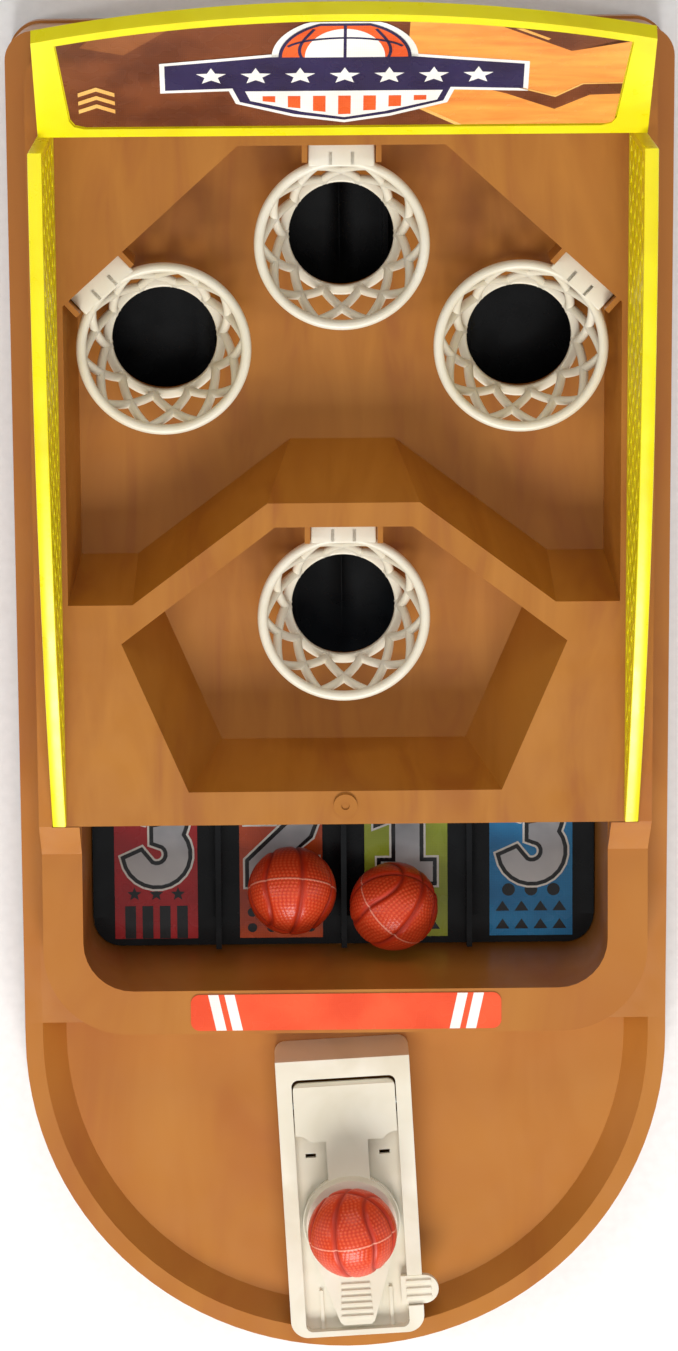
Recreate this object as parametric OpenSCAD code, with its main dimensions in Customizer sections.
// Tabletop basketball game: tilted board with four hoops, ball return and a swivelling catapult.
// Origin: middle of the footprint, on the surface that the feet rest on. +Y to the back, +Z up.

/* [Base] */
// Width across the base
base_w = 185; // [180:1:222]
// Length of the base, round front to straight back
base_len = 382; // [370:1:459]
// How far the header's top edge stands behind the base
header_overhang = 10.4; // [4:0.2:12.6]
// Height of the rubber feet
foot_h = 2; // [1.5:0.1:3]
// Height of the seam between bottom pan and upper shell
seam_z = 12; // [11:0.5:14]
// Wall thickness of the big mouldings
wall = 2; // [1.6:0.1:2.4]
// Corner radius at the back of the base
back_r = 9; // [6:0.5:14]

/* [Launch deck] */
// Length of the launch deck, from the round front to the tray block
launch_len = 97.2; // [96:0.2:117]
// Height of the launch floor's top face
launch_z = 21; // [20:0.5:23]
// Height of the rim round the launch floor
rim_z = 28; // [26:0.5:29]
// Width of the rim at floor level
rim_w = 12.3; // [10:0.1:14]
// Width of the rim's flat crest
crest_w = 5; // [3:0.5:8]
// Height of the side shoulder at the back
shoulder_z = 60; // [50:1:66]

/* [Tray block] */
// Height of the tray deck
deck_z = 45; // [43:0.5:47]
// Length of the tray block, front face to board lip
tray_len = 63.3; // [60:0.5:76]
// How far the upper block is set in from the base's side
block_inset = 7; // [6:0.5:9]
// Width of the tray opening
well_w = 148.4; // [140:0.2:150]
// Land between the block's front face and the opening
well_land = 12.5; // [11:0.5:16]
// Draft of the opening's front wall, in millimetres over its height
well_draft = 4.9; // [3:0.1:7]
// Corner radius of the opening
well_r = 14; // [8:0.5:18]

/* [Board] */
// Height of the board's front lip
lip_z = 62; // [61:0.5:66]
// Slope of the board, in degrees
field_tilt = 6; // [5:0.5:7]
// Width of the board moulding
field_w = 163; // [160:0.5:164]
// Thickness of the board
field_t = 2; // [1.6:0.1:2.4]
// Depth of the upper pocket below the board
upper_depth = 26; // [25:0.5:28]
// Depth of the lower pocket below the board
lower_depth = 28; // [26.5:0.5:28.5]
// Radius of the ball holes in the pocket floors
drop_r = 15.5; // [15:0.1:16.5]

/* [Hoops] */
// Outer radius of a hoop's rim
hoop_r = 24; // [22:0.5:25]
// Thickness of the rim
hoop_t = 2.7; // [2.2:0.1:3.2]
// Height of the net
net_h = 18; // [15:0.5:19]
// Inner radius at the foot of the net
net_foot_r = 14.5; // [13.5:0.1:14.8]
// Wall of the net
net_t = 1.3; // [1:0.1:1.6]
// Diamonds round the net
net_n = 10; // [8:1:12]
// Width of a hoop's bracket
bracket_w = 18; // [14:0.5:20]
// Reach of a bracket, from the hoop's middle to the pocket wall
bracket_out = 28; // [27.5:0.1:29]
// Distance of the upper rims below the board
hoop_drop = 4; // [3:0.5:5]
// Distance of the lower rim below the board
low_drop = 8; // [6:0.5:8.5]

/* [Side rails and header] */
// Thickness of a side rail
rail_t = 3.8; // [3:0.1:4.4]
// Height of a side rail at its back end
rail_h = 35.5; // [30:0.5:42.5]
// Outward lean of the rails, in degrees
rail_lean = 3.2; // [0:0.1:4]
// Pitch of the lattice
lattice_pitch = 8.4; // [7:0.1:11]
// Width of the lattice's bars
lattice_bar = 1.7; // [1.4:0.1:2.4]
// Width of the header
header_w = 161.6; // [150:0.2:176]
// Height of the header at its middle, along its face
header_h = 59; // [54:1:71]
// How much the header's top edge drops from middle to side
header_arch = 12.8; // [10:0.1:18]
// Rise of the header's face, in degrees from flat
header_rise = 55; // [50:1:60]
// Thickness of the header
header_t = 4; // [3:0.2:5]
// Width of the header's border round the card
header_border = 3.2; // [2.5:0.1:5]
// Width of the border beside the card's upper corners
header_side = 5.9; // [4:0.1:8]
// Width of the border beside the card's lower corners
header_side_low = 8.6; // [6:0.1:11]
// Height of the header's lower edge
header_foot_z = 112; // [108:1:120]
// Width of a header leg
leg_w = 13; // [10:0.5:16]

/* [Ball return] */
// Width of the black return tray
lane_w = 144.6; // [138:0.2:145]
// Slope of the lanes, in degrees
lane_tilt = 1.5; // [1:0.1:1.6]
// Height of the lane dividers
divider_h = 7; // [5:0.5:9]
// Thickness of the lane dividers
divider_t = 1.6; // [1.2:0.1:2]
// Width of a lane label
label_w = 24; // [20:0.5:25]
// Length of a lane label
label_len = 52; // [40:1:56]
// Thickness of the stickers
sticker_t = 0.3; // [0.2:0.05:0.4]

/* [Balls] */
// Radius of a ball
ball_r = 12.75; // [12:0.05:13]

/* [Launcher] */
// Width of the launcher frame
launcher_w = 38.4; // [36:0.2:44]
// Length of the launcher frame
launcher_len = 84.8; // [82:0.2:88]
// Distance from the frame's back end to its pivot
pivot_back = 26.3; // [24:0.1:28]
// Distance of the pivot from the base's round front
pivot_front = 64.2; // [63:0.1:68]
// Angle the launcher is left at, in degrees
aim_rest = 3; // [-10:0.5:10]
// Height of the frame's top face
frame_z = 34.5; // [34:0.1:36]
// Width of the frame's border
border_w = 4.3; // [4:0.1:5]
// Radius of the pivot boss
pivot_r = 4; // [3:0.1:5]
// Radius of the arm's hinge pin
pin_r = 1; // [0.8:0.05:1.2]
// Radius of the arm's hinge barrel
barrel_r = 2.2; // [2:0.05:2.3]
// Width of the arm's neck
neck_w = 12; // [9:0.5:14]
// Outer radius of the arm's cup
cup_r = 14.4; // [13.8:0.1:15]
// Radius of the wire in the arm's spring
wire_r = 0.3; // [0.2:0.05:0.3]
// Width of the release lever
lever_w = 8.4; // [6:0.2:10]

/* [Fits] */
// Gap between parts that only lie beside each other
gap = 0.3; // [0.2:0.05:0.4]
// Radial clearance of running fits
run_fit = 0.05; // [0.02:0.01:0.1]
// Radius of the screw shanks
screw_r = 1.45; // [1.2:0.05:1.6]
// Radius of the screw heads
head_r = 2.8; // [2.4:0.1:3]

/* [Hidden] */
$fn = 48;

// colours
brown = "#BE7D46";
yellow = "#F5E51C";
cream = "#F1EBDC";
black = "#101214";
steel = "#B8BCC0";
ball_colour = "#D9432A";

// stations along Y
front_y = -(base_len + header_overhang) / 2;
back_y = front_y + base_len;
arc_y = front_y + base_w / 2;
block_y = front_y + launch_len;
lip_y = block_y + tray_len;
pivot_y = front_y + pivot_front;
lid_inset = 0.8;
block_hw = base_w / 2 - block_inset;
block_back_y = back_y - 4.8;
facet_y = lip_y - 11;
field_back_y = back_y - 28.5;
field_len = (field_back_y - lip_y) / cos(field_tilt);
well_hw = well_w / 2;
well_y = block_y + well_land;
floor_r = base_w / 2 - rim_w;
floor_z = foot_h + wall;
mean_z = lip_z + (block_back_y - lip_y) * tan(field_tilt);

function field_z(y) = lip_z + (y - lip_y) * tan(field_tilt);

// board frame: x across, y up the slope from the lip, z off the board
module on_field() { translate([0, lip_y, lip_z]) rotate([field_tilt, 0, 0]) children(); }
module both_sides() { children(); mirror([1, 0, 0]) children(); }
module slab(pts, x0, x1) {
  translate([x0, 0, 0]) rotate([90, 0, 90]) linear_extrude(x1 - x0) polygon(pts);
}
module tube(r_out, r_in, h) {
  difference() {
    cylinder(r = r_out, h = h);
    translate([0, 0, -1]) cylinder(r = r_in, h = h + 2);
  }
}

// base outline with a half-round front
module outline(inset) {
  hw = base_w / 2 - inset;
  r = back_r - min(inset, back_r - 1);
  end_y = back_y - inset;
  translate([0, arc_y]) circle(hw, $fn = 96);
  translate([-hw, arc_y]) square([2 * hw, end_y - r - arc_y]);
  translate([-hw + r, arc_y]) square([2 * (hw - r), end_y - arc_y]);
  for (s = [-1, 1]) translate([s * (hw - r), end_y - r]) circle(r);
}
module round_rect(hw, y0, y1, r0, r1) {
  translate([-hw + r0, y0]) square([2 * (hw - r0), y1 - y0 - r1]);
  translate([-hw, y0 + r0]) square([2 * hw, y1 - y0 - r0 - r1]);
  translate([-hw + r1, y1 - r1 - 1]) square([2 * (hw - r1), r1 + 1]);
  for (s = [-1, 1]) translate([s * (hw - r0), y0 + r0]) circle(r0);
  for (s = [-1, 1]) translate([s * (hw - r1), y1 - r1]) circle(r1);
}
// side profiles, as (y, z) points
function block_profile(drop, y0, y1) = [[y0, 0], [y0, deck_z - drop], [facet_y + 0.55 * drop, deck_z - drop],
  [lip_y + 0.6 * drop, lip_z - drop], [y1, field_z(y1) - drop], [y1, 0]];

boss_r = 4;
side_boss_x = base_w / 2 - lid_inset - wall - boss_r + 0.5;
screw_spots = [[0, front_y + 24], [58, front_y + 68], [-58, front_y + 68],
  [side_boss_x, lip_y + 60], [-side_boss_x, lip_y + 60],
  [side_boss_x, field_back_y - 12], [-side_boss_x, field_back_y - 12]];
foot_spots = [[60, front_y + 52], [-60, front_y + 52], [74, back_y - 26], [-74, back_y - 26]];
floor_under = launch_z - wall;

module base_pan() {
  color(brown) difference() {
    union() {
      difference() {
        translate([0, 0, foot_h]) linear_extrude(seam_z - foot_h) outline(0);
        translate([0, 0, floor_z]) linear_extrude(seam_z) outline(wall + 0.2);
      }
      for (p = screw_spots) translate([p[0], p[1], foot_h]) cylinder(r = boss_r, h = seam_z - foot_h);
    }
    for (p = screw_spots) translate([p[0], p[1], 0]) {
      cylinder(r = screw_r + 0.2, h = seam_z + 1);
      cylinder(r = head_r + 0.2, h = foot_h + 3);
    }
  }
}
module feet() {
  color("#303030") for (p = foot_spots) translate(p) cylinder(r = 6, h = foot_h);
}
module screw(len) {
  difference() {
    union() {
      cylinder(r = head_r, h = 1.8);
      cylinder(r = screw_r, h = len);
    }
    for (a = [0, 90]) rotate(a) translate([-1.6, -0.3, -1]) cube([3.2, 0.6, 2]);
  }
}
module base_screws() {
  color(steel) for (p = screw_spots) translate([p[0], p[1], foot_h + 3 - 1.8]) screw(14);
}

module well_foot(out) {
  round_rect(well_hw - 1.6 + out, well_y - out + well_draft, lip_y + (out > 0 ? 6 : 9), well_r * 0.6 + out, 1);
}
module tray_well(out) {
  hull() {
    translate([0, 0, deck_z - 0.1]) linear_extrude(out > 0 ? 0.1 : 1, $fn = 32)
      round_rect(well_hw + out, well_y - out, lip_y + (out > 0 ? 6 : 9), well_r + out, 1);
    translate([0, 0, floor_z + gap]) linear_extrude(0.1, $fn = 32) well_foot(out);
  }
}
module launch_cavity() {
  depth = rim_z - launch_z + 0.01;
  crest_r = base_w / 2 - lid_inset - crest_w;
  intersection() {
    union() {
      translate([0, arc_y, launch_z]) cylinder(r1 = floor_r, r2 = crest_r, h = depth, $fn = 96);
      translate([0, block_y + 1, 0]) rotate([90, 0, 0]) linear_extrude(block_y + 1 - arc_y) polygon([
        [-floor_r, launch_z], [floor_r, launch_z], [crest_r, rim_z + 0.01], [-crest_r, rim_z + 0.01]]);
    }
    translate([-base_w, block_y - 2 * base_w, 0]) cube([2 * base_w, 2 * base_w, deck_z]);
  }
}
module body_shell() {
  top = mean_z + 5;
  ledge_hw = field_w / 2 - 3.5;
  mouth_back_y = field_back_y + field_t * sin(field_tilt) + gap;
  color(brown) difference() {
    union() {
      difference() {
        union() {
          intersection() {
            translate([0, 0, seam_z]) linear_extrude(top) outline(lid_inset);
            slab([[front_y, 0], [front_y, rim_z], [block_y, rim_z], [back_y, shoulder_z], [back_y, 0]],
              -base_w, base_w);
          }
          intersection() {
            translate([0, 0, seam_z]) linear_extrude(top)
              round_rect(block_hw, block_y, block_back_y, 24, back_r);
            slab(block_profile(0, block_y, block_back_y), -base_w, base_w);
          }
        }
        launch_cavity();
        intersection() {
          linear_extrude(top) outline(lid_inset + wall);
          slab([[front_y, 0], [front_y, floor_under], [block_y + wall, floor_under],
            [block_y + wall, rim_z - wall], [back_y, shoulder_z - wall], [back_y, 0]], -base_w, base_w);
        }
        intersection() {
          linear_extrude(top) round_rect(block_hw - wall, block_y + wall, block_back_y - wall, 22, back_r - wall);
          slab(block_profile(wall, block_y + wall, block_back_y - wall), -base_w, base_w);
        }
        // mouth for the board
        slab([[lip_y - gap, deck_z], [lip_y - gap, 2 * top], [mouth_back_y, 2 * top], [mouth_back_y, lip_z - 8],
          [lip_y + 8, deck_z]], -field_w / 2 - gap, field_w / 2 + gap);
      }
      tray_well(wall);
      // ledges that the board rests on
      both_sides() on_field() translate([ledge_hw, 1, -field_t - 2]) cube([block_hw - wall - ledge_hw + 0.5, field_len, 2]);
      for (p = screw_spots) translate([p[0], p[1], seam_z])
        cylinder(r = boss_r, h = (p[1] < block_y ? floor_under : 32) - seam_z + 0.5);
    }
    tray_well(0);
    // open above the tray, between the two sloped facets
    translate([-well_hw, facet_y - 1, deck_z]) cube([well_w, lip_y - facet_y + 1, lip_z]);
    linear_extrude(floor_z + 1) well_foot(0);
    for (p = screw_spots) translate([p[0], p[1], seam_z - 1]) cylinder(r = screw_r + run_fit, h = 7);
    translate([0, pivot_y, floor_under - 1]) cylinder(r = pivot_r + run_fit, h = wall + 2);
    for (x = leg_spots) translate([x, leg_y, 0]) cylinder(r = screw_r + 0.2, h = 200);
  }
}

// pocket outlines on the board: half outlines from the middle of the back edge, clockwise
lip = field_back_y - lip_y;
upper_pts = [[-28.2, 191.3], [28.2, 191.3], [76.2, 147.5], [76.2, 63.5], [58.5, 63.5], [21, 92],
  [-21, 92], [-58.5, 63.5], [-76.2, 63.5], [-76.2, 147.5]];
upper_draft = [0, 0, 3.2, 8.5, 6, 12.5, 6, 8.5, 3.2, 0];
lower_pts = [[-19, 85.2], [19, 85.2], [61.7, 52.4], [43.6, 9.6], [-43.6, 9.6], [-61.7, 52.4]];
lower_draft = [0, 0, 11.5, 7.7, 11.5, 0];
function edge_dir(p, i) = let(d = p[(i + 1) % len(p)] - p[i]) d / norm(d);
function inward(p, i) = let(d = edge_dir(p, i)) [d[1], -d[0]];
// everything on one side of edge i's drafted wall, moved out by grow
module wall_side(pts, inset, depth, i, grow, inside) {
  big = 600;
  dir = edge_dir(pts, i);
  translate([pts[i][0], pts[i][1], 0]) rotate(atan2(dir[1], dir[0])) translate([0, grow, 0])
    rotate([-atan(inset[i] / depth), 0, 0]) translate([-big / 2, inside ? -big : 0, -big / 2]) cube(big);
}
module pocket_room(pts, inset, depth, grow) {
  intersection_for(i = [0 : len(pts) - 1]) wall_side(pts, inset, depth, i, grow, true);
}
module upper_room(grow) {
  outer = [0, 1, 2, 3, 7, 8, 9];
  difference() {
    intersection_for(i = outer) wall_side(upper_pts, upper_draft, upper_depth, i, grow, true);
    // the wedge that stands in from the front
    intersection_for(i = [4, 5, 6]) wall_side(upper_pts, upper_draft, upper_depth, i, grow, false);
  }
}
module lower_room(grow) { pocket_room(lower_pts, lower_draft, lower_depth, grow); }
module between(low_z, high_z) {
  intersection() {
    translate([-field_w / 2, 0, low_z]) cube([field_w, field_len, high_z - low_z]);
    children();
  }
}
// hoops hang a bracket's reach in from the pocket walls: x, y and turn
side_dir = edge_dir(upper_pts, 1);
side_spot = upper_pts[1] + 53.6 * side_dir + bracket_out * inward(upper_pts, 1);
side_turn = atan2(side_dir[1], side_dir[0]);
upper_hoops = [[0, upper_pts[0][1] - bracket_out, 0], [-side_spot[0], side_spot[1], -side_turn],
  [side_spot[0], side_spot[1], side_turn]];
low_hoop = [0, lower_pts[0][1] - bracket_out, 0];
module hoop_guides(p, drop) {
  translate([p[0], p[1], 0]) rotate(p[2]) for (s = [-1, 1])
    translate([s * (bracket_w / 2 + gap + 0.75) - 0.75, bracket_out - 4.8, -drop - 9])
      cube([1.5, 5.5, 10 + drop - 1.5]);
}
peg_spots = [14, 100, 182];
module playfield() {
  color(brown) difference() {
    union() {
      on_field() difference() {
        union() {
          translate([-field_w / 2, 0, -field_t]) cube([field_w, field_len, field_t]);
          between(-upper_depth - wall, -field_t / 2) upper_room(wall);
          between(-lower_depth - wall, -field_t / 2) lower_room(wall);
        }
        between(-upper_depth, 1) upper_room(0);
        between(-lower_depth, 1) lower_room(0);
        for (p = concat(upper_hoops, [low_hoop])) translate([p[0], p[1], -60]) cylinder(r = drop_r, h = 59);
        for (y = peg_spots) both_sides()
          translate([field_w / 2 - rail_t / 2, y, -20]) cylinder(r = 1.2 + run_fit, h = 30);
      }
      on_field() {
        for (p = upper_hoops) hoop_guides(p, hoop_drop);
        hoop_guides(low_hoop, low_drop);
      }
      // front apron under the lip
      translate([-well_hw, lip_y, deck_z + 2]) cube([well_w, wall, lip_z - deck_z - 3]);
      on_field() translate([0, 5.5, -0.5]) cylinder(r = 3.3, h = 1.2);
    }
    on_field() translate([0, 5.5, 0.3]) cylinder(r = 1.2, h = 2);
  }
}

// hoop: origin at the middle of the rim's top face, bracket towards +Y
module net_window(a, z0, z1, z2, w) {
  rotate(a) translate([0, -1, 0]) rotate([90, 0, 0]) linear_extrude(40) polygon([[0, z0], [w, z1], [0, z2], [-w, z1]]);
}
module hoop() {
  r_top = hoop_r - hoop_t;
  row = (net_h - 3.2) / 3;
  step = 360 / net_n;
  color(cream) union() {
    rotate_extrude($fn = 96) translate([r_top, -hoop_t]) {
      translate([hoop_t / 2, hoop_t / 2]) circle(hoop_t / 2, $fn = 24);
      square([hoop_t, hoop_t / 2]);
    }
    difference() {
      rotate_extrude($fn = 96) polygon([[r_top - 0.3, -1.5], [r_top + net_t, -1.5],
        [net_foot_r + net_t, 1.6 - net_h], [net_foot_r + net_t, -net_h], [net_foot_r, -net_h], [net_foot_r, 1.6 - net_h]]);
      for (i = [0 : net_n - 1]) {
        net_window(i * step, -net_h + 3, -net_h + 3 + row * 1.25, -net_h + 3 + row * 2.5, 3.4);
        net_window((i + 0.5) * step, -net_h + 2.2, -net_h + 2.2, -net_h + 1.8 + row * 1.2, 2.6);
        net_window((i + 0.5) * step, -net_h + 3.4 + row * 1.5, -2.6, -2.6, 3.6);
      }
    }
    difference() {
      union() {
        translate([-bracket_w / 2, hoop_r - 3, -2.4]) cube([bracket_w, bracket_out - hoop_r + 3, 2.4]);
        translate([-bracket_w / 2, bracket_out - 2, -8]) cube([bracket_w, 2, 7]);
        for (s = [-1, 1]) translate([s * (bracket_w / 2 - 1.2) - 0.8, hoop_r - 1, -6]) cube([1.6, bracket_out - hoop_r, 5]);
      }
      translate([0, 0, -20]) cylinder(r = r_top + 0.5, h = 40, $fn = 96);
    }
  }
}
module place_hoop(p, drop) { on_field() translate([p[0], p[1], -drop]) rotate(p[2]) hoop(); }
module hoop_back() { place_hoop(upper_hoops[0], hoop_drop); }
module hoop_left() { place_hoop(upper_hoops[1], hoop_drop); }
module hoop_right() { place_hoop(upper_hoops[2], hoop_drop); }
module hoop_front() { place_hoop(low_hoop, low_drop); }

// side rails
rail_len = field_len - 2.5;
rail_low = 2;
rail_curve = [for (t = [0 : 0.1 : 1]) [t * rail_len, rail_low + (rail_h - rail_low) * (1 - pow(1 - t, 2.3))]];
module rail_face() {
  difference() {
    polygon(concat([[0, 0], [rail_len, 0]], [for (i = [10 : -1 : 0]) rail_curve[i]]));
    intersection() {
      offset(delta = -2.2) polygon(concat([[0, 0.6], [rail_len, 0.6]], [for (i = [10 : -1 : 0]) rail_curve[i]]));
      for (i = [0 : floor(rail_len / lattice_pitch)], j = [0 : 8])
        translate([(i + (j % 2) / 2) * lattice_pitch, j * lattice_pitch / 2 + 2]) rotate(45)
          square(lattice_pitch / sqrt(2) - lattice_bar, center = true);
    }
  }
}
module rail() {
  color(yellow) on_field() {
    translate([field_w / 2 - rail_t, 0.5, 0]) rotate([0, rail_lean, 0]) translate([0, 0, 0.25])
      rotate([90, 0, 90]) linear_extrude(rail_t) rail_face();
    for (y = peg_spots) translate([field_w / 2 - rail_t / 2, y, -field_t]) cylinder(r = 1.2, h = field_t + 1.5);
  }
}
module rail_right() { rail(); }
module rail_left() { mirror([1, 0, 0]) rail(); }

// header: x across, y up its face from the lower edge, z off its face
header_hw = header_w / 2;
header_y = back_y + header_overhang - header_h * cos(header_rise) - header_t * sin(header_rise);
side_h = header_h - header_arch;
arch_r = (header_hw * header_hw + header_arch * header_arch) / (2 * header_arch);
leg_x = header_hw - leg_w - 1;
leg_y = header_y + 8;
leg_spots = [leg_x + leg_w / 2, -leg_x - leg_w / 2];
module on_header() { translate([0, header_y, header_foot_z]) rotate([header_rise, 0, 0]) children(); }
module arch(inset, outline) {
  intersection() {
    translate([0, header_h - arch_r]) circle(arch_r - inset, $fn = 180);
    polygon(outline);
  }
}
module header_plate() {
  arch(0, [[-header_hw, 0], [header_hw, 0], [header_hw, header_h], [-header_hw, header_h]]);
}
module header_window(inset) {
  low = header_border + 0.7 + inset;
  top_hw = header_hw - header_side - inset;
  low_hw = header_hw - header_side_low - inset;
  arch(header_border + inset, [[4 - low_hw, low], [low_hw - 4, low], [low_hw - 1.2, low + 1.2], [low_hw, low + 4],
    [top_hw, side_h], [top_hw, header_h], [-top_hw, header_h], [-top_hw, side_h], [-low_hw, low + 4],
    [1.2 - low_hw, low + 1.2]]);
}
module header_frame() {
  foot = field_z(leg_y - 4);
  color(yellow) difference() {
    union() {
      on_header() translate([0, 0, -header_t]) linear_extrude(header_t) header_plate();
      both_sides() slab([[leg_y - 4, foot], [leg_y + 4, field_z(leg_y + 4)], [leg_y + 4, header_foot_z - 2],
        [header_y + 18, header_foot_z + 18 * tan(header_rise) - 3], [header_y + 1.5, header_foot_z - 0.5],
        [header_y + 1.5, header_foot_z - 4], [leg_y - 4, header_foot_z - 8]], leg_x, leg_x + leg_w);
    }
    on_header() translate([0, 0, -sticker_t - 0.5]) linear_extrude(header_t) header_window(0);
    for (x = leg_spots) translate([x, leg_y, foot - 1]) cylinder(r = screw_r + run_fit, h = 12);
  }
}
module header_card() {
  color("#8A4A28") on_header() translate([0, 0, -sticker_t - 0.5]) linear_extrude(sticker_t)
    header_window(0.3);
}
module header_screws() {
  color(steel) for (x = leg_spots) translate([x, leg_y, field_z(leg_y - 4) - wall - 1.8]) screw(12);
}

// return tray: y up the lanes from their front edge
lane_y = well_y + well_draft + gap;
lane_len = field_back_y - 10 - lane_y;
lane_pitch = lane_w / 4;
lane_t = 1.5;
module on_lanes() { translate([0, lane_y, floor_z + lane_t + 0.1]) rotate([lane_tilt, 0, 0]) children(); }
function ribbon(path, t) = concat([for (p = path) [p[0] - t / 2, p[1]]],
  [for (i = [len(path) - 1 : -1 : 0]) [path[i][0] + t / 2, path[i][1]]]);
module return_tray() {
  color(black) {
    on_lanes() {
        translate([0, 0, -lane_t]) linear_extrude(lane_t) round_rect(lane_w / 2, 0, lane_len, well_r * 0.6 - gap, 2);
        for (s = [-1, 1]) for (k = [0.5, 1.5]) translate([s * k * lane_pitch, 0, 0]) both_sides()
          translate([label_w / 2 + 1, well_r * 0.6, -0.1]) rotate([-90, 0, 0]) linear_extrude(lane_len - well_r)
            polygon([[0, 0], [lane_pitch / 2 - label_w / 2 - 1 + 0.1, 0], [lane_pitch / 2 - label_w / 2 - 1 + 0.1, -1.2]]);
        linear_extrude(divider_h) {
          polygon(ribbon([[-lane_pitch, 0.3], [-lane_pitch, 50], [-43.8, 84], [-43.8, 126], [-lane_pitch, 152],
            [-lane_pitch, lane_len - 1]], divider_t));
          polygon(ribbon([[0, 0.3], [0, 50], [-14, 84], [-14, 126], [13, 168], [13, lane_len - 1]], divider_t));
          polygon(ribbon([[lane_pitch, 0.3], [lane_pitch, lane_len - 1]], divider_t));
        }
    }
    // side skirts and a back foot that stand on the pan
    both_sides() slab([[lane_y + 12, floor_z], [lane_y + lane_len - 3, floor_z],
      [lane_y + lane_len - 3, floor_z + (lane_len - 3) * tan(lane_tilt)], [lane_y + 12, floor_z + 0.7]],
      lane_w / 2 - 2, lane_w / 2 - 0.5);
  }
}
module lane_label(k, tone) {
  color(tone) on_lanes() translate([k * lane_pitch - label_w / 2, 2, 0]) cube([label_w, label_len, sticker_t]);
}
module lane_label_red() { lane_label(-1.5, "#C4161C"); }
module lane_label_orange() { lane_label(-0.5, "#D0521F"); }
module lane_label_green() { lane_label(0.5, "#A8B830"); }
module lane_label_blue() { lane_label(1.5, "#1F86C0"); }
module front_label() {
  color("#F0552E") translate([0, block_y + 6.2, deck_z]) linear_extrude(sticker_t)
    round_rect(44, -5.2, 5.2, 2.5, 2.5);
}

// launcher: origin on its pivot, its back end towards +Y
module on_pivot() { translate([0, pivot_y, 0]) rotate(aim_rest) children(); }
front_end = pivot_back - launcher_len;
frame_hw = launcher_w / 2;
bed_hw = frame_hw - border_w;
skirt_z = launch_z + 0.4;
over_rim_z = rim_z + 1.2;
bed_z = over_rim_z + 1.6;
skirt_end = -48;
hinge_y = 9;
hinge_z = 30;
arm_z = bed_z + 1.2;
arm_t = 2.2;
recess_back = hinge_y + 8.5;
lever_y = -46.3;
lever_z = bed_z + 0.4;
lever_t = 2.4;
module launcher_frame() {
  color(cream) on_pivot() difference() {
    union() {
      difference() {
        translate([0, 0, skirt_z]) linear_extrude(frame_z - skirt_z) round_rect(frame_hw, front_end, pivot_back, 5, 3);
        // hollow underside
        translate([0, 0, skirt_z - 1]) linear_extrude(over_rim_z - skirt_z + 1)
          round_rect(frame_hw - 2, skirt_end + 2, pivot_back - 4.2, 2, 2);
        // raised front, over the rim
        translate([-frame_hw - 1, front_end - 1, skirt_z - 1])
          cube([launcher_w + 2, skirt_end - front_end + 1, over_rim_z - skirt_z + 1]);
        // recessed bed
        translate([0, 0, bed_z]) linear_extrude(10) round_rect(bed_hw, front_end + 1.6, 2, 2, 1);
        translate([0, 0, bed_z]) linear_extrude(10) round_rect(bed_hw, -2, recess_back, 1, 2);
        // sloped back face
        translate([-30, pivot_back, skirt_z]) rotate([14, 0, 0]) cube([60, 10, 30]);
      }
      translate([0, 0, skirt_z]) cylinder(r = pivot_r + 1.5, h = over_rim_z - skirt_z + 0.5);
      translate([0, 0, floor_under - gap]) cylinder(r = pivot_r, h = 4);
      for (s = [-1, 1]) translate([s * 10 - 0.5, front_end + 1, bed_z - 0.5]) cube([1, 12, 1.3]);
    }
    for (s = [-1, 1]) translate([s * 10.6 - 1.5, -6.3, over_rim_z - 1]) cube([3, 1.2, 4]);
    // pin seats
    translate([1.3 - frame_hw, hinge_y, hinge_z]) rotate([0, 90, 0]) cylinder(r = pin_r + 0.02, h = launcher_w - 2.6);
    // clearance for the barrel and the tail of the arm
    translate([-bed_hw, hinge_y - barrel_r - 0.8, hinge_z - 6])
      cube([2 * bed_hw, recess_back - hinge_y + barrel_r + 0.8, 10]);
    // lever slot
    translate([bed_hw - 4, lever_y - lever_w / 2 - gap, bed_z + 0.1]) cube([border_w + 6, lever_w + 2 * gap, 10]);
    cylinder(r = screw_r + run_fit, h = launch_z + 5);
  }
}
module pivot_washer() {
  color(steel) on_pivot() translate([0, 0, floor_under - gap - 1]) tube(8, screw_r + 0.15, 1);
}
module pivot_screw() {
  color(steel) on_pivot() translate([0, 0, floor_under - gap - 1 - 1.8]) screw(8);
}
cup_y = -25.2;
launch_ball_z = arm_z + 1 + ball_r + gap;
tab_end = front_end + 3;
module arm_plan() {
  difference() {
    round_rect(bed_hw - gap, -1, hinge_y + 7.2, 1, 2);
    for (s = [-1, 1]) translate([s * (neck_w / 2 + 8), -3]) circle(4, $fn = 24);
  }
  translate([-neck_w / 2, cup_y]) square([neck_w, 26]);
  translate([0, cup_y]) circle(cup_r - 0.4);
  polygon([[-cup_r + 1.2, cup_y - 4], [cup_r - 1.2, cup_y - 4], [5, tab_end + 1], [4, tab_end], [-4, tab_end], [-5, tab_end + 1]]);
}
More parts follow.
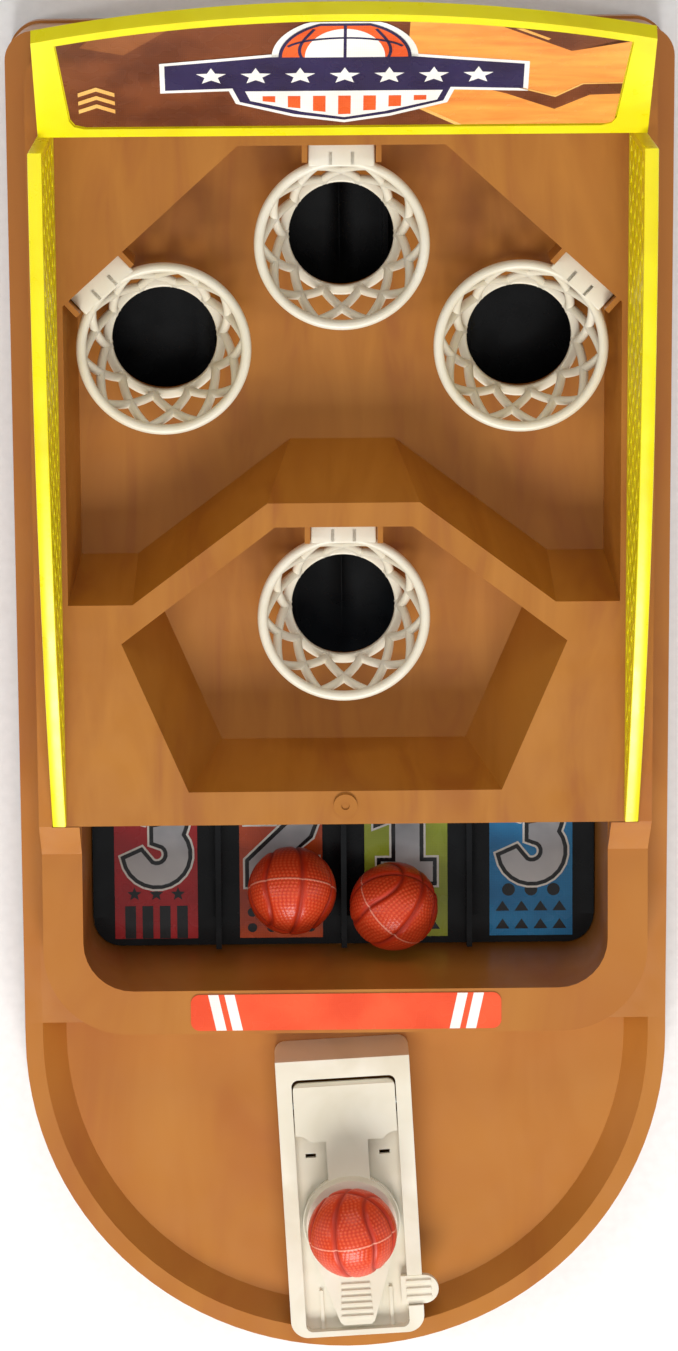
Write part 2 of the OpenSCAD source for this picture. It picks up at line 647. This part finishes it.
module launcher_arm() {
  color(cream) on_pivot() difference() {
    union() {
      translate([0, 0, arm_z]) linear_extrude(arm_t) arm_plan();
      translate([0, cup_y, arm_z + 1]) cylinder(r1 = cup_r - 0.4, r2 = cup_r - 1.4, h = 4.2);
      for (s = [-1, 1]) translate([s > 0 ? 4.4 : gap - bed_hw, hinge_y, hinge_z]) rotate([0, 90, 0])
        cylinder(r = barrel_r, h = bed_hw - gap - 4.4);
      for (i = [0 : 5]) translate([-4.6 + i * 0.1, tab_end + 2 + i * 1.9, arm_z + 1]) cube([9.2 - i * 0.2, 0.8, arm_t - 0.5]);
    }
    translate([0, cup_y, launch_ball_z]) sphere(r = ball_r + gap, $fn = 64);
    translate([-30, hinge_y, hinge_z]) rotate([0, 90, 0]) cylinder(r = pin_r + run_fit, h = 60);
    // eased tail edge, so that it clears the frame as the arm swings
    translate([-20, hinge_y + 6.2, arm_z + arm_t]) rotate([-45, 0, 0]) cube([40, 4, 4]);
  }
}
module arm_pin() {
  color(steel) on_pivot() translate([1.5 - frame_hw, hinge_y, hinge_z]) rotate([0, 90, 0])
    cylinder(r = pin_r, h = launcher_w - 3);
}
coil_turns = 11;
module arm_spring() {
  inner_r = pin_r + 0.12;
  outer_r = inner_r + 2 * wire_r;
  half = coil_turns * wire_r;
  color(steel) on_pivot() translate([0, hinge_y, hinge_z]) {
    // close-wound turns, as one grooved sleeve
    rotate([0, 90, 0]) rotate_extrude() polygon(concat([[inner_r, half], [inner_r, -half]],
      [for (i = [0 : 2 * coil_turns]) [outer_r - (i % 2 == 0 ? 0.25 : 0), i * wire_r - half]]));
    translate([half - 2 * wire_r, 0, -inner_r - wire_r]) rotate([90, 0, 0]) cylinder(r = wire_r, h = 4.2);
    translate([2 * wire_r - half, 0, inner_r + wire_r]) rotate([90, 0, 0]) cylinder(r = wire_r, h = 8);
  }
}
module release_lever() {
  inner = bed_hw - 1.9;
  tip = frame_hw + 0.4;
  color(cream) on_pivot() translate([0, lever_y, lever_z]) {
    translate([inner, -lever_w / 2, 0]) cube([tip - inner, lever_w, lever_t]);
    translate([tip, 0, 0]) cylinder(r = lever_w / 2, h = lever_t);
    for (k = [-1, 0, 1]) translate([inner + 1.5, k * 2.3 - 0.5, lever_t - 0.5]) cube([tip - inner + 0.6, 1, 1]);
  }
}

module ball() { color(ball_colour) sphere(r = ball_r, $fn = 64); }
module lane_ball(x, up) {
  on_lanes() translate([x, up, ball_r + sticker_t + gap]) ball();
}
module ball_launch() { on_pivot() translate([0, cup_y, launch_ball_z]) ball(); }
module ball_orange_lane() { lane_ball(-15, 18.8); }
module ball_green_lane() { lane_ball(14.2, ball_r + 1.2); }

base_pan();
feet();
base_screws();
body_shell();
playfield();
return_tray();
lane_label_red();
lane_label_orange();
lane_label_green();
lane_label_blue();
front_label();
hoop_back();
hoop_left();
hoop_right();
hoop_front();
rail_left();
rail_right();
header_frame();
header_card();
header_screws();
launcher_frame();
pivot_washer();
pivot_screw();
launcher_arm();
arm_pin();
arm_spring();
release_lever();
ball_launch();
ball_orange_lane();
ball_green_lane();
